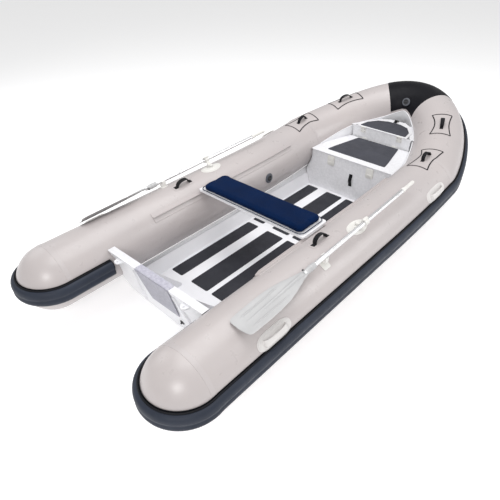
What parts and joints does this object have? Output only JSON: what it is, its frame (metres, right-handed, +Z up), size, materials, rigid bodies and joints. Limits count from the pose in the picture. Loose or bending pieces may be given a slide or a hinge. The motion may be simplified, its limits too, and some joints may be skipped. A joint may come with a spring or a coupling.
{
  "type": "rigid-hulled inflatable dinghy",
  "caption": "Open dinghy with an inflated fabric tube round a V-bottomed metal hull, sliding thwart, stowed oars, bow lockers with lids and a transom for an outboard motor.",
  "frame": {"origin": "on the flat underside of the keel shoe, midway along and across the boat", "axes": "+X to starboard, +Y forward to the bow, +Z up"},
  "size_m": [1.7092, 3.9802, 0.817],
  "materials": {
    "tube_fabric": "satin coated fabric",
    "strake_rubber": "matt slate rubber",
    "black_fabric": "matt black coated fabric",
    "grey_fabric": "moulded pale grey rubber",
    "white_hull": "white powder coat",
    "grey_plastic": "matt",
    "light_plastic": "satin",
    "black_plastic": "satin",
    "tread_mat": "fine non-skid texture",
    "navy_cloth": "woven navy cloth over foam",
    "seat_paint": "white powder coat",
    "webbing": "black woven webbing",
    "bare_aluminium": "brushed",
    "steel": "brushed"
  },
  "bodies": {
    "boat": {"bow_coaming": "white_hull", "bow_hinge_port": "steel", "bow_hinge_starboard": "steel", "bow_patch": "black_fabric", "bow_riser": "white_hull", "deck_plate": "white_hull", "front_strap": "webbing", "handle_bow_aft_port": "tube_fabric", "handle_bow_aft_starboard": "tube_fabric", "handle_bow_fore_port": "tube_fabric", "handle_bow_fore_starboard": "tube_fabric", "handle_mid_port": "webbing", "handle_mid_starboard": "webbing", "hull_bottom": "white_hull", "keel_shoe": "bare_aluminium", "lift_handle_aft_port": "grey_fabric", "lift_handle_aft_starboard": "grey_fabric", "lift_handle_fore_port": "grey_fabric", "lift_handle_fore_starboard": "grey_fabric", "motor_pad": "grey_plastic", "motor_pad_top": "grey_plastic", "oar_rest_port": "light_plastic", "oar_rest_starboard": "light_plastic", "oarlock_base_port": "light_plastic", "oarlock_base_starboard": "light_plastic", "seat_track_port": "tube_fabric", "seat_track_starboard": "tube_fabric", "step_front": "white_hull", "strake_port": "strake_rubber", "strake_starboard": "strake_rubber", "transom_cap": "white_hull", "transom_plate": "white_hull", "tube_bow": "tube_fabric", "tube_port": "tube_fabric", "tube_starboard": "tube_fabric", "valve_bow": "grey_plastic", "valve_port": "grey_plastic", "valve_starboard": "grey_plastic"},
    "seat": {"seat_board": "seat_paint", "seat_cushion": "navy_cloth"},
    "step_hatch": {"step_lid": "white_hull", "step_lid_pad": "tread_mat"},
    "bow_hatch": {"bow_lid": "white_hull", "bow_lid_pad": "tread_mat", "bow_lid_pull": "webbing"},
    "latch_port_lever": {"latch_port": "light_plastic"},
    "latch_starboard_lever": {"latch_starboard": "light_plastic"},
    "port_oar": {"oarlock_port": "light_plastic", "oar_shaft_port": "bare_aluminium", "oar_grip_port": "light_plastic", "oar_blade_port": "grey_plastic"},
    "starboard_oar": {"oarlock_starboard": "light_plastic", "oar_shaft_starboard": "bare_aluminium", "oar_grip_starboard": "light_plastic", "oar_blade_starboard": "grey_plastic"},
    "port_cap": {"valve_port_cap": "black_plastic"},
    "starboard_cap": {"valve_starboard_cap": "black_plastic"},
    "bow_cap": {"valve_bow_cap": "black_plastic"},
    "plug": {"drain_plug": "black_plastic"}
  },
  "joints": [
    {"name": "seat_slide", "type": "slide", "parent": "boat", "child": "seat", "axis": [0, 1, 0], "range_m": [-0.38, 0.4]},
    {"name": "step_hatch_hinge", "type": "hinge", "parent": "boat", "child": "step_hatch", "pos_m": [0, 1.1295, 0.437], "axis": [-1, 0, 0], "range_deg": [0, 60]},
    {"name": "bow_hatch_hinge", "type": "hinge", "parent": "boat", "child": "bow_hatch", "pos_m": [0, 1.135, 0.533], "axis": [1, 0, 0], "range_deg": [0, 90]},
    {"name": "latch_port_turn", "type": "hinge", "parent": "boat", "child": "latch_port_lever", "pos_m": [-0.19, 0.66, 0.33], "axis": [1, 0, 0], "range_deg": [0, 80]},
    {"name": "latch_starboard_turn", "type": "hinge", "parent": "boat", "child": "latch_starboard_lever", "pos_m": [0.19, 0.66, 0.33], "axis": [1, 0, 0], "range_deg": [0, 80]},
    {"name": "port_oar_swing", "type": "hinge", "parent": "boat", "child": "port_oar", "pos_m": [-0.613, -0.3655, 0.612], "axis": [0, 0, -1], "range_deg": [0, 110]},
    {"name": "starboard_oar_swing", "type": "hinge", "parent": "boat", "child": "starboard_oar", "pos_m": [0.663, -0.3305, 0.612], "axis": [0, 0, 1], "range_deg": [0, 110]},
    {"name": "valve_port_cap_turn", "type": "hinge", "parent": "boat", "child": "port_cap", "pos_m": [-0.3924, 0.0765, 0.3658], "axis": [0.9981, 0, 0.061], "range_deg": [0, 90]},
    {"name": "valve_starboard_cap_turn", "type": "hinge", "parent": "boat", "child": "starboard_cap", "pos_m": [0.3924, 0.0765, 0.3658], "axis": [-0.9981, 0, 0.061], "range_deg": [0, 90]},
    {"name": "valve_bow_cap_turn", "type": "hinge", "parent": "boat", "child": "bow_cap", "pos_m": [0, 1.5364, 0.6945], "axis": [0, -0.9205, 0.3907], "range_deg": [0, 90]},
    {"name": "drain_plug_turn", "type": "hinge", "parent": "boat", "child": "plug", "pos_m": [0.105, -1.343, 0.115], "axis": [0, -0.964, -0.2661], "range_deg": [0, 360]}
  ]
}
